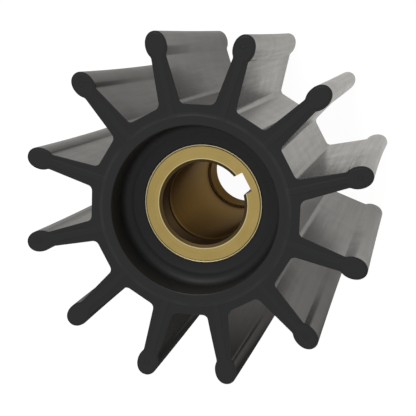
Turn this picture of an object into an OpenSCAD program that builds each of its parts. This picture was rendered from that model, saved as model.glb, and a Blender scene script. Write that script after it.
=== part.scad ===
// Flexible pump impeller: straight rubber blades and hub, moulded round a keyed brass insert.
// The shaft axis is Z. The part stands on its flat back end at z = 0, the recessed front end looks up,
// and the first blade lies along +X.

/* [Overall] */
// Diameter over the blade tips
tip_d = 66; // [58:0.5:90]
// Width along the shaft, from the back end to the front end
width = 57.15; // [40:0.05:90]
// Number of blades
blade_count = 12; // [8:1:14]

/* [Blades] */
// Diameter of the round bead along each blade tip
bead_d = 3.9; // [3.2:0.05:4.6]
// Distance from the middle of a bead in to the neck, over which its sides curve in
neck_drop = 2.85; // [2:0.05:4]
// Thickness of a blade at its neck
neck_t = 2.85; // [1.6:0.05:3.6]
// Thickness of a blade where it meets the flats of the hub
root_t = 4; // [3:0.05:5]
// Radius of the fillets between a blade and the hub
root_fillet = 1.1; // [0.4:0.05:1.8]

/* [Hub] */
// Distance across two opposite flats of the hub, from one gap between the blades to the other
hub_flats = 38.7; // [35.5:0.1:44]
// Diameter of the front recess at its mouth
recess_d = 31; // [29.5:0.1:33.5]
// Depth of the front recess at its ledge
ledge_depth = 6.95; // [5:0.05:8.1]
// Inner diameter of the ledge, where the recess drops on towards the insert
ledge_d = 26.6; // [25.6:0.1:27]
// Radius of the fillet between the recess wall and the ledge
recess_fillet = 2; // [0.5:0.1:2.2]

/* [Front face] */
// Height of the raised sealing lands on the front face
land_h = 0.15; // [0.1:0.05:0.6]
// Width of the raised ring round the recess
ring_w = 2; // [1:0.1:3]
// Width of the raised strip along each blade
strip_w = 1.4; // [0.8:0.1:2.4]
// Width of the plain rim round the raised pad on the end of each bead
pad_rim = 0.25; // [0.1:0.05:0.8]
// Distance from the middle of a bead in to where its pad has narrowed to the strip
pad_len = 3.45; // [2.6:0.05:4.5]
// Diameter of the gate marks on the ends of every second bead
gate_d = 1.2; // [0.6:0.1:1.6]
// Depth of the gate marks below the lands
gate_depth = 0.1; // [0.05:0.05:0.3]
// Distance from the middle of a bead in to the middle of its gate mark
gate_in = 0.3; // [0:0.05:0.8]

/* [Insert] */
// Outer diameter of the brass insert
insert_d = 22.7; // [20.4:0.1:24.6]
// Depth of the insert's front face below the front of the rubber
insert_depth = 7.85; // [7.2:0.05:20]
// Height by which the insert stands proud of the rubber round it
insert_proud = 0.45; // [0.1:0.05:0.6]
// Chamfer on the outer edge of the insert's back end
insert_chamfer = 0.45; // [0.1:0.05:0.8]
// Width of the round rim turned along the outer edge of the insert's face
rim_w = 0.34; // [0.2:0.02:0.5]
// Width of the crease between that rim and the flat face
crease_w = 0.1; // [0.04:0.02:0.16]
// Thickness of the bond between the insert and the rubber
bond_gap = 0.02; // [0.01:0.01:0.1]

/* [Shaft bore] */
// Diameter of the shaft bore
bore_d = 15.88; // [15:0.01:18]
// Chamfer round the mouth of the bore, measured across the face
bore_chamfer = 0.58; // [0.2:0.02:1]
// Length of the smooth land at the mouth of the bore
bore_land = 5; // [2:0.1:20]
// Width of the tool groove behind the land
groove_w = 1.3; // [0.5:0.1:3]
// Depth of the tool groove behind the land
groove_depth = 0.15; // [0.05:0.05:0.5]
// Length of the lip at the back end that stops the shaft
lip_len = 6.65; // [2:0.05:12]
// Diameter of the hole through the lip
lip_d = 14.88; // [10:0.02:14.98]

/* [Keyway] */
// Width of the keyway
key_w = 3.9; // [2:0.1:6]
// Depth of the keyway, measured out from the bore's surface at its middle
key_depth = 1.57; // [0.5:0.01:2.4]
// Angle of the keyway from the first blade
key_angle = 15; // [0:1:359]

/* [Hidden] */
$fn = 96;
cut = 1;
bite = 0.006;
pitch = 360 / blade_count;
tip_r = tip_d / 2;
bead_r = bead_d / 2;
bead_x = tip_r - bead_r;
neck_x = bead_x - neck_drop;
hub_r = hub_flats / 2;
recess_r = recess_d / 2;
seat_r = insert_d / 2 + bond_gap;
insert_top = width - insert_depth;
seat_floor = insert_top - insert_proud;
bore_r = bore_d / 2;

// Corners of a regular hub whose flats lie between the blades
function hub_corners() =
    [for (i = [0 : blade_count - 1]) hub_r / cos(pitch / 2) * [cos(i * pitch), sin(i * pitch)]];

// Half the thickness of a blade at a distance from the axis
function half_t(x) = (root_t + (neck_t - root_t) * (x - hub_r) / (neck_x - hub_r)) / 2;

// Angle by which each side of a blade leans in towards its neck
flank_lean = atan((root_t - neck_t) / 2 / (neck_x - hub_r));

// Where two lines cross, each given by its normal's angle and its distance from the origin
function crossing(a1, d1, a2, d2) =
    [d1 * sin(a2) - d2 * sin(a1), d2 * cos(a1) - d1 * cos(a2)] / sin(a2 - a1);

// The blade's side and the hub's flat beside it, as such lines
flank_a = 90 - flank_lean;
flank_dist = cos(flank_a) * hub_r + sin(flank_a) * root_t / 2;
flat_a = pitch / 2;

// Solid corner between a blade's side and the flat next to it, with a round hollow face. The round is
// larger by bite than one that only touches the two sides, so that it cuts them cleanly.
module root_corner() {
    middle = crossing(flank_a, flank_dist + root_fillet, flat_a, hub_r + root_fillet);
    inner = crossing(flank_a, flank_dist - root_fillet / 2, flat_a, hub_r - root_fillet / 2);
    on_flank = middle - root_fillet * [cos(flank_a), sin(flank_a)];
    on_flat = middle - root_fillet * [cos(flat_a), sin(flat_a)];
    difference() {
        linear_extrude(width) polygon([inner, on_flat, middle, on_flank]);
        translate([middle[0], middle[1], -cut])
            cylinder(r = root_fillet + bite, h = width + 2 * cut);
    }
}

// Bulb along X: a round bead whose sides curve in over a length to a thinner neck. Each side is an arc
// that ends inside the bead by bite and runs on into the blade or strip behind the neck.
module bulb(r, length, neck, h) {
    rise = r - bite - neck / 2;
    side_r = (length * length + rise * rise) / (2 * rise);
    side_y = side_r - r + bite;
    translate([bead_x, 0, 0]) cylinder(r = r, h = h);
    intersection() {
        translate([bead_x - length - cut, -r, 0]) cube([length + cut, 2 * r, h]);
        translate([bead_x, side_y, -cut]) cylinder(r = side_r, h = h + 2 * cut);
        translate([bead_x, -side_y, -cut]) cylinder(r = side_r, h = h + 2 * cut);
    }
}

// One blade along +X, with its bead and the fillets at its root
module blade() {
    root_x = recess_r + cut;
    linear_extrude(width) polygon([
        [root_x, half_t(root_x)],
        [root_x, -half_t(root_x)],
        [neck_x, -half_t(neck_x)],
        [neck_x, half_t(neck_x)]
    ]);
    bulb(bead_r, neck_drop, neck_t, width);
    root_corner();
    mirror([0, 1, 0]) root_corner();
}

// Raised ring, strips and bead pads that seal against the pump's cover
module lands() {
    h = land_h + 3 * cut;
    cylinder(r = recess_r + ring_w, h = h);
    for (i = [0 : blade_count - 1]) rotate(i * pitch) {
        translate([recess_r, -strip_w / 2, 0]) cube([bead_x - recess_r, strip_w, h]);
        bulb(bead_r - pad_rim, pad_len, strip_w, h);
    }
}

// Space that is lowered round the lands on the front face
module front_relief() {
    translate([0, 0, width - land_h]) difference() {
        cylinder(r = tip_r + cut, h = land_h + cut);
        translate([0, 0, -cut]) lands();
    }
}

// Shallow round marks left on every second bead where the rubber was let into the mould
module gate_marks() {
    for (i = [0 : 2 : blade_count - 1]) rotate(i * pitch)
        translate([bead_x - gate_in, 0, width - gate_depth])
            cylinder(d = gate_d, h = gate_depth + cut);
}

// Front recess, turned: a straight wall, a round fillet, a ledge and a sloping drop to the insert
module recess() {
    ledge_z = width - ledge_depth;
    fillet_r = recess_r - recess_fillet;
    fillet_z = ledge_z + recess_fillet;
    rotate_extrude() polygon([
        [0, width + cut],
        [0, seat_floor],
        [seat_r + insert_proud, seat_floor],
        [ledge_d / 2, ledge_z],
        [fillet_r, ledge_z],
        [fillet_r, fillet_z],
        [recess_r, fillet_z],
        [recess_r, width + cut]
    ]);
    rotate_extrude() translate([fillet_r, fillet_z]) circle(r = recess_fillet);
}

// Rubber body in one piece
module impeller_body() {
    color([0.16, 0.165, 0.175]) difference() {
        union() {
            linear_extrude(width) polygon(hub_corners());
            for (i = [0 : blade_count - 1]) rotate(i * pitch) blade();
        }
        front_relief();
        gate_marks();
        recess();
        translate([0, 0, -cut]) cylinder(r = seat_r, h = width);
    }
}

// Half section of the insert: distance from the axis, height above the back end
module insert_section() {
    outer_r = insert_d / 2;
    rim_r = rim_w / 2;
    rim_z = insert_top - rim_r;
    face_r = outer_r - rim_w - crease_w;
    rim = [for (a = [0 : 22.5 : 180]) [outer_r - rim_r + rim_r * cos(a), rim_z + rim_r * sin(a)]];
    lip_r = lip_d / 2;
    mouth_z = insert_top - bore_chamfer * 0.7;
    groove_top = insert_top - bore_land;
    groove_z = groove_top - groove_w;
    back_end = [
        [lip_r, 0],
        [outer_r - insert_chamfer, 0],
        [outer_r, insert_chamfer]
    ];
    face_and_bore = [
        [face_r, rim_z],
        [face_r, insert_top],
        [bore_r + bore_chamfer, insert_top],
        [bore_r, mouth_z],
        [bore_r, groove_top],
        [bore_r + groove_depth, groove_top - groove_depth],
        [bore_r + groove_depth, groove_z],
        [bore_r, groove_z],
        [bore_r, lip_len],
        [lip_r, lip_len]
    ];
    polygon(concat(back_end, rim, face_and_bore));
}

// Keyway along the whole insert, cut out from the axis
module keyway() {
    rotate(key_angle) translate([0, -key_w / 2, -cut])
        cube([bore_r + key_depth, key_w, insert_top + 2 * cut]);
}

// Turned brass insert, bonded into the rubber
module hub_insert() {
    color([0.72, 0.6, 0.34]) difference() {
        rotate_extrude() insert_section();
        keyway();
    }
}

impeller_body();
hub_insert();
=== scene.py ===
# Looks of a flexible pump impeller: black moulded rubber round a turned brass insert.
# The shaft axis is Z, the recessed front end looks up and the first blade lies along +X.
import math

import bmesh
import bpy
from mathutils import Matrix, Vector

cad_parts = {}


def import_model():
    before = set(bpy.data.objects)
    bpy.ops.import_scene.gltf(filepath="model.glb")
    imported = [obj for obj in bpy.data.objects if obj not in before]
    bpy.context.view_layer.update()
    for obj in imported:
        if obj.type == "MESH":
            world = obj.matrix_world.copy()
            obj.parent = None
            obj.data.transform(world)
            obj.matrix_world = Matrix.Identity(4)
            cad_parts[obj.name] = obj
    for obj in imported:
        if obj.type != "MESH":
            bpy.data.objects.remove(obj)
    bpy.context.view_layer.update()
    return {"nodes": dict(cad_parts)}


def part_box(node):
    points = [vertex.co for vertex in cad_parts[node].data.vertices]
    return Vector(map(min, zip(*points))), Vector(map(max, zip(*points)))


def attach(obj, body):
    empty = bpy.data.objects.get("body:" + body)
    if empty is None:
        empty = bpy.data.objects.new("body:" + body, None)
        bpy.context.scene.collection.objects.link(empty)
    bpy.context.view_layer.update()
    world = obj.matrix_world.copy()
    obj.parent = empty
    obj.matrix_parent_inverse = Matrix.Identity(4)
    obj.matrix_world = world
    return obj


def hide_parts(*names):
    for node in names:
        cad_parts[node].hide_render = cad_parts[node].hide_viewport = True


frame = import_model()

# Overall sizes in metres, from the frame
MM = 0.001
body_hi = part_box("impeller_body")[1]
insert_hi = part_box("hub_insert")[1]
WIDTH = body_hi.z
TIP_R = body_hi.x
INSERT_TOP = insert_hi.z
INSERT_R = insert_hi.x

# Blades and hub. A bulb is an oval round BULB_X, which is squarer for a higher BULB_POWER.
BLADES = 12
PITCH = 2 * math.pi / BLADES
BULB_X = 30.4 * MM
BULB_LONG = TIP_R - BULB_X
BULB_R = 2.02 * MM
BULB_POWER = 2.1
NECK_X = 28.5 * MM
NECK_T = 2.82 * MM
NECK_ROUND = 0.35 * MM
ROOT_T = 4.0 * MM
ROOT_FILLET = 1.1 * MM
HUB_R = 19.35 * MM
EDGE_R = 0.12 * MM
DRAFT = 0.1 * MM

# How far a blade leans round its root, in degrees, at the back, half way and at the front.
# The lean comes in softly between two distances from the axis.
LEAN = {
    0: (-0.8, -2.6, -1.0), 1: (0.0, 0.2, 0.0), 2: (-0.4, 1.2, 0.8), 3: (-0.4, -1.6, 0.0),
    4: (-1.0, -1.2, 1.6), 5: (-1.4, -2.3, -0.7), 6: (-2.2, -2.5, -0.3), 7: (-0.6, 0.9, 0.5),
    8: (0.4, -0.4, -0.2), 9: (-2.6, 0.2, 4.2), 10: (1.8, 1.5, 0.0), 11: (1.0, 2.4, 1.3),
}
LEAN_FROM = HUB_R - 0.4 * MM
LEAN_FULL = HUB_R + 2.1 * MM

# Front recess and the seat of the insert
RECESS_R = 15.5 * MM
RECESS_LIP = 0.3 * MM
RECESS_FILLET = 2.0 * MM
LEDGE_DEPTH = 7.45 * MM
LEDGE_R = 13.3 * MM
DROP_R = 11.5 * MM
BOND_GAP = 0.02 * MM
SEAT_R = INSERT_R + BOND_GAP
SEAT_DROP = 0.12 * MM

# Raised lands. LAND_EDGE is the profile of their edges, as shares of LAND_SLOPE and LAND_H.
LAND_H = 0.075 * MM
LAND_SLOPE = 0.26 * MM
LAND_EDGE = ((0, 0), (0.2, 0.08), (0.4, 0.35), (0.6, 0.65), (0.8, 0.92), (1, 1))
RING_W = 2.0 * MM
STRIP_W = 1.4 * MM
PAD_RIM = 0.3 * MM
FRONT_Z = WIDTH - LAND_H

# Gate marks on every second blade, with their profile as radius and height in millimetres
GATE_BLADES = range(0, BLADES, 2)
GATE_X = 30.6 * MM
GATE_PROFILE = (
    (0.8, 0), (0.7, -0.02), (0.6, -0.05), (0.5, -0.07), (0.36, -0.07),
    (0.28, -0.045), (0.2, -0.01), (0.14, 0), (0.07, 0),
)

# Steps of the mesh along its curves and walls, and sides of what is round
EDGE_STEPS = 4
WALL_STEPS = 10
FILLET_STEPS = 10
DROP_STEPS = 8
ROOT_STEPS = 8
NECK_STEPS = 4
BULB_STEPS = 28
RING_STEPS = 10
TURNED_SIDES = 192
GATE_SIDES = 24

# Soft edges of the insert
BEVEL_W = 0.025 * MM
BEVEL_ANGLE = math.radians(35)

# Camera, found from the photograph
CAMERA_AT = Vector((46.916, 22.443, 233.821)) * MM
CAMERA_LOOK = Vector((-0.24057, -0.12199, -0.96294))
CAMERA_UP = Vector((0.18461, 0.96821, -0.16878))
CAMERA_LENS = 88.074
SENSOR_W = 36
CLIP_NEAR, CLIP_FAR = 0.01, 20

# Both materials: the range that holds most of a noise, and the depth of the bump
NOISE_LO, NOISE_HI = 0.3, 0.7
BUMP_DEPTH = 0.02 * MM

# Rubber: colours, finish, and scales of its noise per metre. Streaks run along the axis. A face whose
# normal has at most SIDE_Z along the axis is a side, and one that has at least END_Z is an end.
SIDE_Z, END_Z = 0.25, 0.75
RUBBER_DARK = (0.0105, 0.0113, 0.0124)
RUBBER_LIGHT = (0.013, 0.0139, 0.0152)
LAND_COLOUR = (0.0158, 0.0163, 0.0178)
# The next colour is a painted highlight along the edge of the ring land.
RING_EDGE_HIGHLIGHT = (0.034, 0.034, 0.035)
SIDE_COLOUR = (0.016, 0.0152, 0.014)
RUBBER_ROUGH = 0.42
SIDE_ROUGH = 0.24
RUBBER_SWING = 0.02
RECESS_DULLER = 0.1
RUBBER_SPEC = 0.5
RUBBER_BUMP = 0.1
PATCH_SCALE = 160.0
TONE_LO, TONE_HI = 0.35, 0.65
# Thresholds of the noise patches that break up the painted highlight along the ring land's edge.
RING_HIGHLIGHT_LO, RING_HIGHLIGHT_HI = 0.3, 0.6
GRAIN_SCALE = 3500.0
STREAK_SCALE = 1300.0
STREAK_STRETCH = 0.03
GRAIN_SHARE = 0.4
STREAK_SHARE = 0.6
LINE_FULL, LINE_NONE = 0.15 * MM, 0.45 * MM
RECESS_FADE = 0.2 * MM

# Brass: colours and finish of the insert, and scales of its noise per metre. The rim colour, also used
# on a line at the bore's mouth, is a painted highlight; the crease and chamfer colours are painted
# shade, and the step colour is painted light.
BRASS_DARK = (0.585, 0.425, 0.142)
BRASS_LIGHT = (0.65, 0.48, 0.17)
BRASS_TINT = (0.68, 0.56, 0.41, 1)
# Painted highlight on the raised rim, on top of the rim's own reflection, and on a thin line at the
# bore's mouth.
RIM_HIGHLIGHT = (0.95, 0.84, 0.5)
# Painted shade in the crease between the face and the rim.
CREASE_SHADE = (0.16, 0.1, 0.04)
# Painted shade on the chamfer at the bore's mouth, and painted light on the step deep in the bore.
CHAMFER_SHADE = (0.2, 0.14, 0.06)
STEP_PAINTED_LIGHT = (0.75, 0.52, 0.26)
BRASS_ROUGH = 0.32
BRASS_SWING = 0.05
RIM_DULLER = 0.125
CHAMFER_DULLER = 0.25
BORE_DULLER = 0.08
BRASS_BUMP = 0.3
MARK_SCALE = 4000.0
STAIN_SCALE = 260.0

# Places on the insert's face, from the axis. MOUTH_R is where the face meets the chamfer of the bore.
# The line at the crease carries painted shade, and the line just outside the mouth a painted highlight.
RIM_FROM, RIM_FULL = INSERT_R - 0.36 * MM, INSERT_R - 0.32 * MM
CREASE_R = INSERT_R - 0.4 * MM
MOUTH_R = 8.52 * MM
MOUTH_HIGHLIGHT_R = MOUTH_R + 0.1 * MM
BORE_FULL = MOUTH_R - 0.06 * MM
FACE_LINE_FULL, FACE_LINE_NONE = 0.04 * MM, 0.08 * MM

# Painted shade and light down the bore. The land at its mouth is grey as a painted reflection. After it,
# the bore turns into each colour from the first
# to the second depth in millimetres: painted shade in the groove, a painted highlight on its far edge,
# painted shade in the bore, painted light in the far part of the bore, and painted shade on the lip.
# Faces in the bore that look up are the chamfer, or deeper than STEP_FROM the step onto the lip.
LAND_BORE_REFLECTION = (0.17, 0.135, 0.12)
BORE_LIGHT_AND_SHADE = (
    (4.9, 5.1, (0.06, 0.042, 0.03)),
    (6.2, 6.4, (0.5, 0.38, 0.2)),
    (6.5, 7.6, (0.2, 0.127, 0.055)),
    (24, 38, (0.25, 0.175, 0.085)),
    (42.6, 42.8, (0.1, 0.058, 0.02)),
)
STEP_FROM, STEP_FULL = 20 * MM, 30 * MM
UP_FROM, UP_FULL = 0.3, 0.5

# Floor: its colour, and its glow for the camera and in reflections. Near the part, the reflected glow
# carries
# a painted shadow: it is shaded on the side away from LIT_SIDE, and dimmed in the direction of DIM_SIDE.
# Both end between
# UNSHADED_FROM and UNSHADED_FULL from the axis.
FLOOR = (0.22, 0.213, 0.204)
FLOOR_ROUGH = 0.9
FLOOR_HALF = 3.0
GLOW = 0.96
WARM = (1.0, 0.97, 0.925)
IN_REFLECTIONS = 0.92
LIT_SIDE = (0.4, 0.917, 0.0)
SHADE_END, LIT_START = -38 * MM, 14 * MM
UNSHADED_FROM, UNSHADED_FULL = 70 * MM, 160 * MM
DIM_SIDE = (-0.259, 0.966, 0.0)
DIM_FROM, DIM_FULL = 0.53, 0.94
DIM = 0.52

# World and lamps: place and size in metres, power in watts
SKY = 0.27
SKY_IN_REFLECTIONS = 0.5
LAMPS = {
    "above": ((-0.21, -0.1, 0.85), 1.1, 0.35),
    "key": ((0.028, 0.801, 0.409), 0.5, 2.2),
}
LAMP_AIM = Vector((0, 0, 20 * MM))

# A flat face has this material index while the rubber is made, and this weight for the normals
FLAT = 1
FLAT_WEIGHT = 1e4


def polar(r, a):
    """Point at a distance and an angle."""
    return Vector((r * math.cos(a), r * math.sin(a)))


def crossing(a1, d1, a2, d2):
    """Where two lines cross, each given by its normal's angle and its distance from the origin."""
    s = math.sin(a2 - a1)
    x = d1 * math.sin(a2) - d2 * math.sin(a1)
    y = d2 * math.cos(a1) - d1 * math.cos(a2)
    return Vector((x, y)) / s


def arc(centre, r, a0, a1, n):
    """n + 1 points along an arc."""
    return [centre + polar(r, a0 + (a1 - a0) * i / n) for i in range(n + 1)]


def rounded(a, corner, b, cut, n):
    """n + 1 points of a soft curve that rounds a corner, from cut before it to cut after it."""
    start = corner + (a - corner).normalized() * cut
    end = corner + (b - corner).normalized() * cut
    return [start.lerp(corner, i / n).lerp(corner.lerp(end, i / n), i / n) for i in range(n + 1)]


def quarter(n):
    """n + 1 angles from 0 to a right angle."""
    return [math.pi / 2 * i / n for i in range(n + 1)]


def bulb(half_neck, shrink):
    """Points of one side of the bulb on a blade's end, from the neck out to the tip."""
    long, wide, power = BULB_LONG - shrink, BULB_R - shrink, 2 / BULB_POWER
    start = math.acos(-((1 - (half_neck / wide) ** BULB_POWER) ** 0.5))
    points = []
    for i in range(BULB_STEPS):
        a = start * (1 - i / BULB_STEPS)
        out = math.copysign(abs(math.cos(a)) ** power, math.cos(a))
        points.append(Vector((BULB_X + long * out, wide * math.sin(a) ** power)))
    return points + [Vector((BULB_X + long, 0))]


def half_blade(thin):
    """Half a blade, from the middle of the gap beside it to its tip. Its sides are thinner by thin."""
    lean = math.atan((ROOT_T - NECK_T) / 2 / (NECK_X - HUB_R))
    flank_a = math.pi / 2 - lean
    flank_d = math.cos(flank_a) * HUB_R + math.sin(flank_a) * ROOT_T / 2 - thin
    flat_a = PITCH / 2
    middle = crossing(flank_a, flank_d + ROOT_FILLET, flat_a, HUB_R + ROOT_FILLET)
    on_flat = middle - polar(ROOT_FILLET, flat_a)
    gap = polar(HUB_R, flat_a)
    points = [gap.lerp(on_flat, t) for t in (0, 0.5)]
    points += arc(middle, ROOT_FILLET, flat_a + math.pi, flank_a + math.pi, ROOT_STEPS)
    root = points[-1]
    side = bulb(NECK_T / 2 - thin, thin)
    bend = rounded(root, side[0], side[2], NECK_ROUND, NECK_STEPS)
    points += [root.lerp(bend[0], t) for t in (0.25, 0.5, 0.75)]
    return points + bend + side[2:]


def half_land():
    """Half a raised land, from the ring in the middle of a gap to the tip of the pad on a blade."""
    ring_r = RECESS_R + RING_W
    half = STRIP_W / 2
    corner_a = math.asin(half / ring_r)
    points = arc(Vector((0, 0)), ring_r, PITCH / 2, corner_a, RING_STEPS)
    start = points[-1]
    pad = bulb(half, PAD_RIM)
    points += [start.lerp(pad[0], t) for t in (0.2, 0.4, 0.6, 0.75, 0.85, 0.95)]
    return points + pad


def leaned(p, degrees):
    """The point of a blade turned about the blade's root, softly from the hub on."""
    t = min(max((p.x - LEAN_FROM) / (LEAN_FULL - LEAN_FROM), 0), 1)
    a = math.radians(degrees) * t * t * (3 - 2 * t)
    root = Vector((HUB_R, 0))
    return root + Matrix.Rotation(a, 2) @ (p - root)


def lean_at(k, z):
    """Lean of blade k at a height, on a smooth curve through its three given values."""
    back, mid, front = LEAN[k]
    t = z / WIDTH
    return back * (1 - t) * (1 - 2 * t) + mid * 4 * t * (1 - t) + front * t * (2 * t - 1)


def whole(half, z):
    """The closed outline at a height, counterclockwise, from half a blade or land."""
    points = []
    for k in range(BLADES):
        lean = -lean_at(k, z)
        turn = Matrix.Rotation(k * PITCH, 2)
        lower = [Vector((p.x, -p.y)) for p in half]
        cell = lower + half[-2:0:-1]
        points += [turn @ leaned(p, lean) for p in cell]
    return points


def outline_at(z):
    """The outline of blades and hub, which is a little thinner towards the back."""
    return whole(half_blade(DRAFT * (1 - z / WIDTH)), z)


def inset(loop, d):
    """The loop moved to its inner side by d, with mitred corners that reach at most twice as far."""
    out = []
    for i, p in enumerate(loop):
        before = (p - loop[i - 1]).normalized()
        after = (loop[(i + 1) % len(loop)] - p).normalized()
        n1, n2 = Vector((-before.y, before.x)), Vector((-after.y, after.x))
        mitre = (n1 + n2).normalized()
        out.append(p + mitre * d / max(mitre.dot(n1), 0.5))
    return out


def add_loop(bm, points, z):
    """New vertices at a height."""
    return [bm.verts.new((p.x, p.y, z)) for p in points]


def circle(bm, r, z, n, centre=Vector((0, 0))):
    """New vertices on a circle at a height."""
    return add_loop(bm, [centre + polar(r, 2 * math.pi * i / n) for i in range(n)], z)


def edges_of(bm, loop):
    """The edges round a loop, made where there are none."""
    ends = zip(loop, loop[1:] + loop[:1])
    return [bm.edges.get(pair) or bm.edges.new(pair) for pair in ends]


def join(bm, loops):
    """Quads between each loop and the next. All have as many points."""
    for a, b in zip(loops, loops[1:]):
        for i in range(len(a)):
            j = (i + 1) % len(a)
            bm.faces.new((a[i], a[j], b[j], b[i]))


def fill(bm, loops):
    """Flat faces between loops that lie in one plane, tagged as flat by their material index."""
    edges = [e for loop in loops for e in edges_of(bm, loop)]
    made = bmesh.ops.triangle_fill(bm, use_beauty=True, use_dissolve=False, edges=edges)
    for f in made["geom"]:
        if isinstance(f, bmesh.types.BMFace):
            f.material_index = FLAT


def smooth(mesh):
    """Smooth shading whose normals follow the large faces, and above all the flat ones."""
    normals = [Vector((0, 0, 0)) for v in mesh.vertices]
    for f in mesh.polygons:
        weight = f.area * (FLAT_WEIGHT if f.material_index == FLAT else 1)
        for v in f.vertices:
            normals[v] += f.normal * weight
    mesh.polygons.foreach_set("use_smooth", [True] * len(mesh.polygons))
    mesh.polygons.foreach_set("material_index", [0] * len(mesh.polygons))
    mesh.normals_split_custom_set_from_vertices([n.normalized() for n in normals])


def outer_skin(bm):
    """Sides of the blades and the hub, with round edges at both ends. Gives the front and back loop."""
    curve = quarter(EDGE_STEPS)
    front = [add_loop(bm, inset(outline_at(FRONT_Z), EDGE_R * (1 - math.sin(a))),
                      FRONT_Z - EDGE_R * (1 - math.cos(a))) for a in curve]
    top, bottom = FRONT_Z - EDGE_R, EDGE_R
    heights = [top + (bottom - top) * i / WALL_STEPS for i in range(1, WALL_STEPS)]
    walls = [add_loop(bm, outline_at(z), z) for z in heights]
    back = [add_loop(bm, inset(outline_at(0), EDGE_R * (1 - math.cos(a))), EDGE_R * (1 - math.sin(a)))
            for a in curve]
    join(bm, front + walls + back)
    return front[0], back[-1]


def land_edge(bm):
    """Soft slope round the raised lands. Gives its lowest and its highest loop."""
    land = whole(half_land(), WIDTH)
    edge = [add_loop(bm, inset(land, LAND_SLOPE * t), FRONT_Z + LAND_H * h) for t, h in LAND_EDGE]
    join(bm, edge)
    return edge[0], edge[-1]


def gate_mark(bm, k):
    """A shallow round dimple with a pip in its middle. Gives its outer loop."""
    centre = Matrix.Rotation(k * PITCH, 2) @ Vector((GATE_X, 0))
    loops = [circle(bm, r * MM, WIDTH + h * MM, GATE_SIDES, centre) for r, h in GATE_PROFILE]
    join(bm, loops)
    bm.faces.new(loops[-1])
    return loops[0]


def recess_and_seat(bm):
    """Turned skin of the recess and of the seat round the insert. Gives its front and back loop."""
    ledge_z = WIDTH - LEDGE_DEPTH
    seat_z = INSERT_TOP - SEAT_DROP
    lip = [(RECESS_R + RECESS_LIP * (1 - math.sin(a)), WIDTH - RECESS_LIP * (1 - math.cos(a)))
           for a in quarter(EDGE_STEPS)]
    fillet = [(RECESS_R - RECESS_FILLET * (1 - math.cos(a)), ledge_z + RECESS_FILLET * (1 - math.sin(a)))
              for a in quarter(FILLET_STEPS)]
    # The drop is steeper at the ledge than at the insert
    drop = [(LEDGE_R + (DROP_R - LEDGE_R) * t, ledge_z + (seat_z - ledge_z) * t * (1.5 - 0.5 * t))
            for t in [i / DROP_STEPS for i in range(DROP_STEPS + 1)]]
    seat = [(SEAT_R, seat_z), (SEAT_R, EDGE_R), (SEAT_R + EDGE_R, 0)]
    turned = [circle(bm, r, z, TURNED_SIDES) for r, z in lip + fillet + drop + seat]
    join(bm, turned)
    return turned[0], turned[-1]


def add_object(name, data):
    """A new object in the scene."""
    made = bpy.data.objects.new(name, data)
    bpy.context.collection.objects.link(made)
    return made


def rubber_body():
    """The rubber body as one closed skin: sides, front with its lands, recess, seat and back."""
    bm = bmesh.new()
    front, back = outer_skin(bm)
    land_foot, land_top = land_edge(bm)
    fill(bm, [front, land_foot])
    recess, seat = recess_and_seat(bm)
    fill(bm, [land_top, recess] + [gate_mark(bm, k) for k in GATE_BLADES])
    fill(bm, [back, seat])

    bmesh.ops.recalc_face_normals(bm, faces=bm.faces)
    mesh = bpy.data.meshes.new("rubber_body")
    bm.to_mesh(mesh)
    bm.free()
    smooth(mesh)
    return add_object("rubber_body", mesh)


def set_inputs(tree, target, ins):
    """Links a node's inputs to sockets or sets them to values. They are given by name or number."""
    for key, value in ins.items():
        if isinstance(value, bpy.types.NodeSocket):
            tree.links.new(value, target.inputs[key])
        else:
            target.inputs[key].default_value = value


def node(tree, kind, ins=None, **props):
    """A new shader node with its properties and inputs."""
    made = tree.nodes.new("ShaderNode" + kind)
    for key, value in props.items():
        setattr(made, key, value)
    set_inputs(tree, made, ins or {})
    return made


def maths(tree, operation, a, b=0.0):
    """The result of a calculation with one or two values."""
    return node(tree, "Math", {0: a, 1: b}, operation=operation).outputs[0]


def ramp(tree, value, lo, hi, out_lo=0.0, out_hi=1.0):
    """The value mapped from lo..hi to out_lo..out_hi, held at both ends."""
    ins = {"Value": value, "From Min": lo, "From Max": hi, "To Min": out_lo, "To Max": out_hi}
    return node(tree, "MapRange", ins, clamp=True).outputs["Result"]


def swing(tree, value, middle, reach):
    """Noise as a value that varies round its middle by up to its reach."""
    return ramp(tree, value, NOISE_LO, NOISE_HI, middle - reach, middle + reach)


def mixed(tree, factor, a, b):
    """Colour between a and b. Inputs 6 and 7 and output 2 of the node are its colours."""
    a, b = [(*c, 1) if isinstance(c, tuple) else c for c in (a, b)]
    return node(tree, "Mix", {0: factor, 6: a, 7: b}, data_type="RGBA").outputs[2]


def noise(tree, at, scale, detail, **props):
    """Noise from 0 to 1, of which most lies between NOISE_LO and NOISE_HI."""
    ins = {"Vector": at, "Scale": scale, "Detail": detail}
    return node(tree, "TexNoise", ins, **props).outputs[0]


def height_in(tree, vector):
    """The Z of a vector."""
    return node(tree, "SeparateXYZ", {0: vector}).outputs["Z"]


def along(tree, vector, direction):
    """How far a vector reaches in a direction."""
    return node(tree, "VectorMath", {0: vector, 1: direction}, operation="DOT_PRODUCT").outputs["Value"]


def length(tree, vector):
    """The length of a vector."""
    return node(tree, "VectorMath", {0: vector}, operation="LENGTH").outputs["Value"]


def across(tree, at):
    """Distance from the shaft axis."""
    place = node(tree, "SeparateXYZ", {0: at})
    level = node(tree, "CombineXYZ", {0: place.outputs["X"], 1: place.outputs["Y"]})
    return length(tree, level.outputs[0])


def line_at(tree, radius, r, full, none):
    """1 within full of the radius r, fading to 0 at none."""
    off = maths(tree, "ABSOLUTE", maths(tree, "SUBTRACT", radius, r))
    return ramp(tree, off, full, none, 1.0, 0.0)


def material(name):
    """A new material, with its node tree and its shader."""
    made = bpy.data.materials.new(name)
    made.use_nodes = True
    return made, made.node_tree, made.node_tree.nodes["Principled BSDF"]


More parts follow.
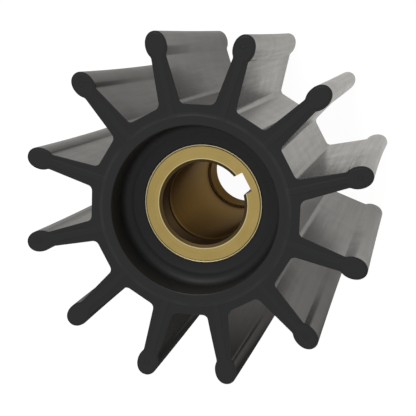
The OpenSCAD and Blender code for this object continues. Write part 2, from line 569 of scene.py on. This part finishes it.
def rubber():
    """Black moulded rubber: dull on the ends, smoother with lengthwise streaks on the sides, and a
    painted highlight along the edge of the ring land.
    """
    made, t, shader = material("rubber")
    coord = node(t, "TexCoord")
    at = coord.outputs["Object"]
    radius = across(t, at)
    facing = maths(t, "ABSOLUTE", height_in(t, coord.outputs["Normal"]))
    upright = ramp(t, facing, SIDE_Z, END_Z, 1.0, 0.0)
    side = maths(t, "MULTIPLY", upright, ramp(t, radius, RECESS_R, RECESS_R + RING_W))
    patches = noise(t, at, PATCH_SCALE, 3.0)
    grain = noise(t, at, GRAIN_SCALE, 3.0)
    drawn = node(t, "Mapping", {"Vector": at, "Scale": (1.0, 1.0, STREAK_STRETCH)}).outputs[0]
    streaks = noise(t, drawn, STREAK_SCALE, 2.0)

    ends = mixed(t, ramp(t, patches, TONE_LO, TONE_HI), RUBBER_DARK, RUBBER_LIGHT)
    on_land = ramp(t, height_in(t, at), WIDTH - 0.8 * LAND_H, WIDTH - 0.2 * LAND_H)
    ends = mixed(t, on_land, ends, LAND_COLOUR)
    # Painted highlight along the edge of the ring land, broken up by patches of noise.
    line = line_at(t, radius, RECESS_R + RING_W, LINE_FULL, LINE_NONE)
    line = maths(t, "MULTIPLY", line, ramp(t, patches, RING_HIGHLIGHT_LO, RING_HIGHLIGHT_HI))
    ends = mixed(t, line, ends, RING_EDGE_HIGHLIGHT)

    rough = ramp(t, side, 0.0, 1.0, RUBBER_ROUGH, SIDE_ROUGH)
    rough = maths(t, "ADD", rough, swing(t, patches, 0.0, RUBBER_SWING))
    rough = maths(t, "ADD", rough, swing(t, streaks, 0.0, RUBBER_SWING))
    in_recess = ramp(t, radius, RECESS_R - RECESS_FADE, RECESS_R + RECESS_FADE, RECESS_DULLER, 0.0)

    relief = maths(t, "MULTIPLY", grain, GRAIN_SHARE)
    relief = maths(t, "ADD", relief, maths(t, "MULTIPLY", streaks, STREAK_SHARE))
    bump = node(t, "Bump", {"Height": relief, "Strength": RUBBER_BUMP, "Distance": BUMP_DEPTH})
    set_inputs(t, shader, {
        "Base Color": mixed(t, side, ends, SIDE_COLOUR),
        "Roughness": maths(t, "ADD", rough, in_recess),
        "Normal": bump.outputs[0],
        "Specular IOR Level": RUBBER_SPEC,
    })
    return made


def painted_bore_shading(t, depth, looks_up):
    """Painted shade and light down the bore, with painted shade on the chamfer at its mouth and painted
    light on the step at its end.
    """
    wall = LAND_BORE_REFLECTION
    for start, end, colour in BORE_LIGHT_AND_SHADE:
        wall = mixed(t, ramp(t, depth, start * MM, end * MM), wall, colour)
    # Upward faces get painted shade on the chamfer at the mouth and painted light on the step deep in
    # the bore.
    upward = mixed(t, ramp(t, depth, STEP_FROM, STEP_FULL), CHAMFER_SHADE, STEP_PAINTED_LIGHT)
    return mixed(t, looks_up, wall, upward)


def brass():
    """Turned brass with fine tool marks that run round the axis, painted highlights on its rim and at
    the bore's mouth, painted shade in the crease and on the chamfer, and painted light and shade down
    the bore.
    """
    made, t, shader = material("brass")
    coord = node(t, "TexCoord")
    at = coord.outputs["Object"]
    height = height_in(t, at)
    radius = across(t, at)
    turned = node(t, "CombineXYZ", {0: radius, 1: height}).outputs[0]
    marks = noise(t, turned, MARK_SCALE, 2.0, noise_dimensions="2D")
    stains = noise(t, at, STAIN_SCALE, 3.0)
    rim = ramp(t, radius, RIM_FROM, RIM_FULL)
    in_bore = ramp(t, radius, BORE_FULL, MOUTH_R, 1.0, 0.0)
    looks_up = ramp(t, height_in(t, coord.outputs["Normal"]), UP_FROM, UP_FULL)
    on_chamfer = maths(t, "MULTIPLY", looks_up, in_bore)

    face = mixed(t, ramp(t, stains, NOISE_LO, NOISE_HI), BRASS_DARK, BRASS_LIGHT)
    # Painted highlight on the raised rim.
    face = mixed(t, rim, face, RIM_HIGHLIGHT)
    # Painted shade in the crease inside the rim, and a painted highlight on a line at the bore's mouth.
    for r, colour in ((CREASE_R, CREASE_SHADE), (MOUTH_HIGHLIGHT_R, RIM_HIGHLIGHT)):
        face = mixed(t, line_at(t, radius, r, FACE_LINE_FULL, FACE_LINE_NONE), face, colour)
    # Painted shade and light down the bore.
    wall = painted_bore_shading(t, maths(t, "SUBTRACT", INSERT_TOP, height), on_chamfer)

    duller = maths(t, "MAXIMUM", maths(t, "MULTIPLY", rim, RIM_DULLER),
                   maths(t, "MULTIPLY", on_chamfer, CHAMFER_DULLER))
    rough = maths(t, "ADD", swing(t, marks, BRASS_ROUGH, BRASS_SWING), duller)
    bump = node(t, "Bump", {"Height": marks, "Strength": BRASS_BUMP, "Distance": BUMP_DEPTH})
    set_inputs(t, shader, {
        "Base Color": mixed(t, in_bore, face, wall),
        "Roughness": maths(t, "ADD", rough, maths(t, "MULTIPLY", in_bore, BORE_DULLER)),
        "Normal": bump.outputs[0],
        "Metallic": 1.0,
        "Specular Tint": BRASS_TINT,
    })
    return made


def dress_insert():
    """Brass and soft edges for the insert from the frame."""
    insert = frame["nodes"]["hub_insert"]
    insert.data.materials[0] = brass()
    edges = insert.modifiers.new("edges", "BEVEL")
    edges.width = BEVEL_W
    edges.segments = 2
    edges.limit_method = "ANGLE"
    edges.angle_limit = BEVEL_ANGLE


def camera():
    """The camera of the photograph."""
    data = bpy.data.cameras.new("camera")
    data.sensor_width = SENSOR_W
    data.lens = CAMERA_LENS
    data.clip_start, data.clip_end = CLIP_NEAR, CLIP_FAR
    cam = add_object("camera", data)
    back = -CAMERA_LOOK.normalized()
    right = CAMERA_UP.cross(back).normalized()
    turn = Matrix((right, back.cross(right), back)).transposed().to_4x4()
    cam.matrix_world = Matrix.Translation(CAMERA_AT) @ turn
    bpy.context.scene.camera = cam


def reflected_glow(t):
    """Strength of the floor's glow in reflections, with a painted shadow near the part: less on the side
    away from LIT_SIDE, and dimmed towards DIM_SIDE.
    """
    at = node(t, "TexCoord").outputs["Object"]
    heading = node(t, "VectorMath", {0: at}, operation="NORMALIZE").outputs[0]
    lit = ramp(t, along(t, at, LIT_SIDE), SHADE_END, LIT_START)
    dimmed = ramp(t, along(t, heading, DIM_SIDE), DIM_FROM, DIM_FULL, 1.0, DIM)
    far = ramp(t, length(t, at), UNSHADED_FROM, UNSHADED_FULL)
    open_floor = maths(t, "MAXIMUM", maths(t, "MULTIPLY", lit, dimmed), far)
    return maths(t, "MULTIPLY", open_floor, IN_REFLECTIONS)


def floor():
    """Plain pale floor that glows white for the camera, and a little warmer in reflections."""
    s = FLOOR_HALF
    mesh = bpy.data.meshes.new("floor")
    mesh.from_pydata([(-s, -s, 0), (s, -s, 0), (s, s, 0), (-s, s, 0)], [], [(0, 1, 2, 3)])
    plane = add_object("floor", mesh)
    made, t, shader = material("floor_white")
    set_inputs(t, shader, {"Base Color": (*FLOOR, 1), "Roughness": FLOOR_ROUGH, "Specular IOR Level": 0})
    path = node(t, "LightPath")
    glossy = path.outputs["Is Glossy Ray"]
    seen = maths(t, "ADD", path.outputs["Is Camera Ray"], path.outputs["Is Transmission Ray"])
    seen = maths(t, "ADD", seen, maths(t, "MULTIPLY", glossy, reflected_glow(t)))
    tint = mixed(t, glossy, (1, 1, 1), WARM)
    glow = node(t, "Emission", {"Color": tint, "Strength": maths(t, "MULTIPLY", seen, GLOW)})
    both = node(t, "AddShader", {0: shader.outputs[0], 1: glow.outputs[0]})
    t.links.new(both.outputs[0], t.nodes["Material Output"].inputs["Surface"])
    mesh.materials.append(made)


def lamp(name, at, size, watts):
    """A square area lamp that points at the part."""
    data = bpy.data.lights.new(name, "AREA")
    data.shape = "SQUARE"
    data.size = size
    data.energy = watts
    made = add_object(name, data)
    made.location = at
    made.rotation_mode = "QUATERNION"
    made.rotation_quaternion = (LAMP_AIM - Vector(at)).to_track_quat("-Z", "Y")


def world():
    """Plain world: dim as a light, brighter in reflections and white for the camera."""
    made = bpy.data.worlds.new("world")
    bpy.context.scene.world = made
    made.use_nodes = True
    t = made.node_tree
    path = node(t, "LightPath")
    seen = maths(t, "MAXIMUM", path.outputs["Is Camera Ray"], path.outputs["Is Transmission Ray"])
    lit = ramp(t, path.outputs["Is Glossy Ray"], 0.0, 1.0, SKY, SKY_IN_REFLECTIONS)
    strength = ramp(t, seen, 0.0, 1.0, lit, 1.0)
    set_inputs(t, t.nodes["Background"], {"Color": (1, 1, 1, 1), "Strength": strength})


body = rubber_body()
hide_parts("impeller_body")
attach(body, "root")
body.data.materials.append(rubber())
dress_insert()

camera()
floor()
for name, (at, size, watts) in LAMPS.items():
    lamp(name, at, size, watts)
world()
bpy.context.scene.view_settings.view_transform = "Standard"
